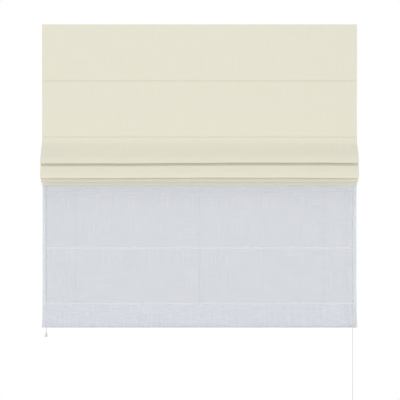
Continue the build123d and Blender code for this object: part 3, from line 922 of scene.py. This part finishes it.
def tape_finish():
    """A rough napped tape."""
    material, tree, shader = new_material("napped_tape")
    place = add_node(tree, "ShaderNodeTexCoord")
    weave = use_group(tree, weave_group, {"Vector": place.outputs["Object"], "Threads": 900.0, "Slub": 1.5})
    grain = use_group(tree, grain_group, {"Vector": place.outputs["Object"], "Fineness": 1600.0})
    tint(tree, shader, weave.outputs["Tone"], (0.70, 0.69, 0.67), (0.86, 0.85, 0.83))
    shader.inputs["Roughness"].default_value = 0.95
    set_bump(tree, shader, grain.outputs["Height"], 0.8, 0.0006)
    return material


def cord_finish():
    """A braid whose threads cross on the slant, painted darker where the braid is low, as shade in its
    grooves.
    """
    material, tree, shader = new_material("braided_cord")
    uv = add_node(tree, "ShaderNodeUVMap", uv_map="thread_map")
    split = add_node(tree, "ShaderNodeSeparateXYZ", {0: uv.outputs[0]})
    lean = math_node(tree, "MULTIPLY", split.outputs[1], 600.0)
    around = math_node(tree, "MULTIPLY", split.outputs[0], 4.0)
    diagonal = add_node(
        tree,
        "ShaderNodeCombineXYZ",
        {0: math_node(tree, "ADD", around, lean), 1: math_node(tree, "SUBTRACT", around, lean)},
    )
    weave = use_group(tree, weave_group, {"Vector": diagonal.outputs[0], "Threads": 1.0, "Slub": 0.6})
    # Colour follows the braid's height: darker between the threads, as painted shade in the grooves.
    tint(tree, shader, weave.outputs["Height"], (0.66, 0.66, 0.65), (0.80, 0.80, 0.79))
    shader.inputs["Roughness"].default_value = 0.75
    set_bump(tree, shader, weave.outputs["Height"], 0.6, 0.0002)
    return material


# %% [markdown]
# Most fittings are hidden from the front but not from the sides: a satin anodised rail with lines along its
# length, powder-coated brackets, moulded plastic, plated steel pawls, glass-fibre rods and the bells.


# %% Fitting finishes
def metal_finish(name, dark, light, stretch, roughness):
    """Metal with a fine grain that is stretched into lines."""
    material, tree, shader = new_material(name)
    grain = solid_grain(tree, 700.0, stretch)
    tint(tree, shader, grain.outputs["Tone"], dark, light)
    shader.inputs["Metallic"].default_value = 1.0
    rough = math_node(tree, "MULTIPLY_ADD", grain.outputs["Height"], 0.16, roughness)
    tree.links.new(rough, shader.inputs["Roughness"])
    set_bump(tree, shader, grain.outputs["Height"], 0.12, 0.0001)
    return material


def moulded_finish(name, dark, light, fineness, stretch, roughness, bump, coat=0.0):
    """Plastic, paint or glass fibre with a fine grain, and a clear coat where asked."""
    material, tree, shader = new_material(name)
    grain = solid_grain(tree, fineness, stretch)
    tint(tree, shader, grain.outputs["Tone"], dark, light)
    rough = math_node(tree, "MULTIPLY_ADD", grain.outputs["Tone"], 0.12, roughness)
    tree.links.new(rough, shader.inputs["Roughness"])
    shader.inputs["Coat Weight"].default_value = coat
    set_bump(tree, shader, grain.outputs["Height"], bump, 0.0002)
    return material


even = (1.0, 1.0, 1.0)
lengthwise = (0.02, 1.0, 1.0)
finishes = {
    "cream_cloth": cream_finish("cream_cloth", (0.748, 0.725, 0.610), (0.801, 0.781, 0.668)),
    # The blue in the sheer's tones is painted light, standing in for cool daylight from behind.
    "sheer_cloth": sheer_finish("sheer_cloth", (0.54, 0.57, 0.645), (0.60, 0.63, 0.705), 0.45),
    "tape": tape_finish(),
    "cord": cord_finish(),
    "rail": metal_finish("anodised_rail", (0.70, 0.70, 0.71), (0.80, 0.80, 0.81), lengthwise, 0.30),
    "steel": metal_finish("plated_steel", (0.55, 0.55, 0.56), (0.68, 0.68, 0.69), (1.0, 1.0, 0.05), 0.24),
}
mouldings = {
    "bracket": ("powder_coat", (0.80, 0.80, 0.79), (0.88, 0.88, 0.87), 420.0, even, 0.38, 0.35),
    "plastic": ("moulded_white", (0.78, 0.78, 0.77), (0.86, 0.86, 0.85), 1500.0, even, 0.42, 0.2),
    "wheel": ("smooth_wheel", (0.76, 0.76, 0.73), (0.84, 0.84, 0.81), 900.0, even, 0.28, 0.06),
    "rod": ("glass_fibre", (0.78, 0.79, 0.76), (0.90, 0.90, 0.87), 1800.0, lengthwise, 0.34, 0.3),
    "ring": ("clear_white_ring", (0.82, 0.82, 0.81), (0.90, 0.90, 0.89), 1200.0, even, 0.30, 0.08),
    "pull": ("glossy_bell", (0.66, 0.66, 0.65), (0.76, 0.76, 0.75), 600.0, even, 0.2, 0.04, 0.3),
}
for slot, values in mouldings.items():
    finishes[slot] = moulded_finish(*values)

# %% [markdown]
# Each node of the frame and each new piece now gets the finish of its own slot. The fittings stay as the
# CAD made them, because their shapes are already right. A few sewn pieces have a finish of their own, with
# painted light and shade: the sheer's hem, bands, pockets, side hems and hem stitches get whiter copies of
# its finish, and the seam thread is darker.

# %% Dress every piece
for subpart in frame["record"]["subparts"]:
    node = nodes[subpart["node"]]
    if not node.material_slots:
        node.data.materials.append(None)
    for place in node.material_slots:
        place.material = finishes[subpart["material_slot"]]
# The seam thread is drawn darker than the cloth: painted shade that deepens the seam lines.
seam_shade_thread_finish = cream_finish("seam_thread_painted_shade", (0.49, 0.46, 0.36), (0.55, 0.52, 0.42))
# Whiter copies of the sheer finish are painted light: the doubled hem, the rod bands, the pockets, the side
# hems and the hem stitches are lifted to look lit through.
hem_painted_light_finish = sheer_finish("sheer_hem", (0.745, 0.77, 0.83), (0.805, 0.83, 0.89), 0.45)
band_painted_light_finish = sheer_finish("sheer_band_painted_light", (0.765, 0.79, 0.84), (0.825, 0.85, 0.90), 0.97)
pocket_painted_light_finish = sheer_finish("sheer_pocket_painted_light", (0.84, 0.865, 0.92), (0.90, 0.925, 0.98), 0.45)
for row in stitch_rows:
    row.data.materials.append(seam_shade_thread_finish)
sheer_hem.data.materials.append(hem_painted_light_finish)
for pocket in [side_hems] + sheer_pockets:
    pocket.data.materials.append(pocket_painted_light_finish)
for band in bands + [sheer_stitches]:
    band.data.materials.append(band_painted_light_finish)
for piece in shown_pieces():
    if not piece.material_slots:
        piece.data.materials.append(finishes[piece["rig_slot"]])

# %% [markdown]
# ## Light and floor
# The light is even and soft, as in a bright room. Nearly half of it comes from all round. Two large lamps
# stand in front, far to the left and the right, so that the cloth is as bright at its sides as in its
# middle. They are lower than the folds, and a weaker lamp is above, so each fold shades only what is tucked
# under it. A lamp behind lights the back. Straight to the camera the surroundings are plain white. The
# floor is far below, clear of the bells in every pose.

# %% World, lamps and floor
AMBIENT = 0.47
FRONT_WATTS = 76.5
UPPER_WATTS = 20.5
BACK_WATTS = 45
WIDE_LAMP = 2.4
UPPER_LAMP = 1.8
FLOOR_DROP = 2.62
FLOOR_HALF = 3.0

world = bpy.data.worlds.new("bright_room")
scene.world = world
world.use_nodes = True
tree = world.node_tree
tree.nodes.clear()
path = add_node(tree, "ShaderNodeLightPath")
seen = math_node(tree, "MAXIMUM", path.outputs["Is Camera Ray"], path.outputs["Is Glossy Ray"])
seen = math_node(tree, "MAXIMUM", seen, path.outputs["Is Transmission Ray"])
soft = add_node(tree, "ShaderNodeBackground", {"Color": (1.0, 0.985, 0.95, 1), "Strength": AMBIENT})
white = add_node(tree, "ShaderNodeBackground", {"Color": (1, 1, 1, 1), "Strength": 1.0})
both = add_node(tree, "ShaderNodeMixShader", {0: seen, 1: soft.outputs[0], 2: white.outputs[0]})
add_node(tree, "ShaderNodeOutputWorld", {0: both.outputs[0]})


def add_lamp(name, place, size, watts):
    """A large soft disk lamp that points at the middle of the blind."""
    data = bpy.data.lights.new(name, "AREA")
    data.shape = "DISK"
    data.size = size
    data.energy = watts
    lamp = bpy.data.objects.new(name, data)
    scene.collection.objects.link(lamp)
    lamp.location = place
    aim = np.array((0.0, front_back, cloth_top - FRONT_REACH)) - np.array(place)
    tilt = math.acos(-aim[2] / np.linalg.norm(aim))
    heading = math.atan2(aim[1], aim[0]) - math.pi / 2
    lamp.rotation_euler = (tilt, 0, heading)


add_lamp("left_lamp", (-3.4, -4.2, -1.15), WIDE_LAMP, FRONT_WATTS)
add_lamp("right_lamp", (3.4, -4.2, -1.15), WIDE_LAMP, FRONT_WATTS)
add_lamp("upper_lamp", (-0.2, -2.6, 1.9), UPPER_LAMP, UPPER_WATTS)
add_lamp("back_lamp", (-0.8, 3.6, -0.2), WIDE_LAMP, BACK_WATTS)

floor_mesh = bpy.data.meshes.new("pale_floor")
floor_z = cloth_top - FLOOR_DROP
floor_corners = ((-1, -1), (1, -1), (1, 1), (-1, 1))
floor_mesh.from_pydata(
    [(FLOOR_HALF * x, FLOOR_HALF * y, floor_z) for x, y in floor_corners],
    [],
    [(0, 1, 2, 3)],
)
floor = bpy.data.objects.new("pale_floor", floor_mesh)
scene.collection.objects.link(floor)
floor_material, _, floor_shader = new_material("pale_floor")
floor_shader.inputs["Base Color"].default_value = (0.86, 0.86, 0.86, 1)
floor_shader.inputs["Roughness"].default_value = 0.9
floor_mesh.materials.append(floor_material)
print(f"{len(bpy.data.lights)} lamps, floor at {floor_z:.2f} m")
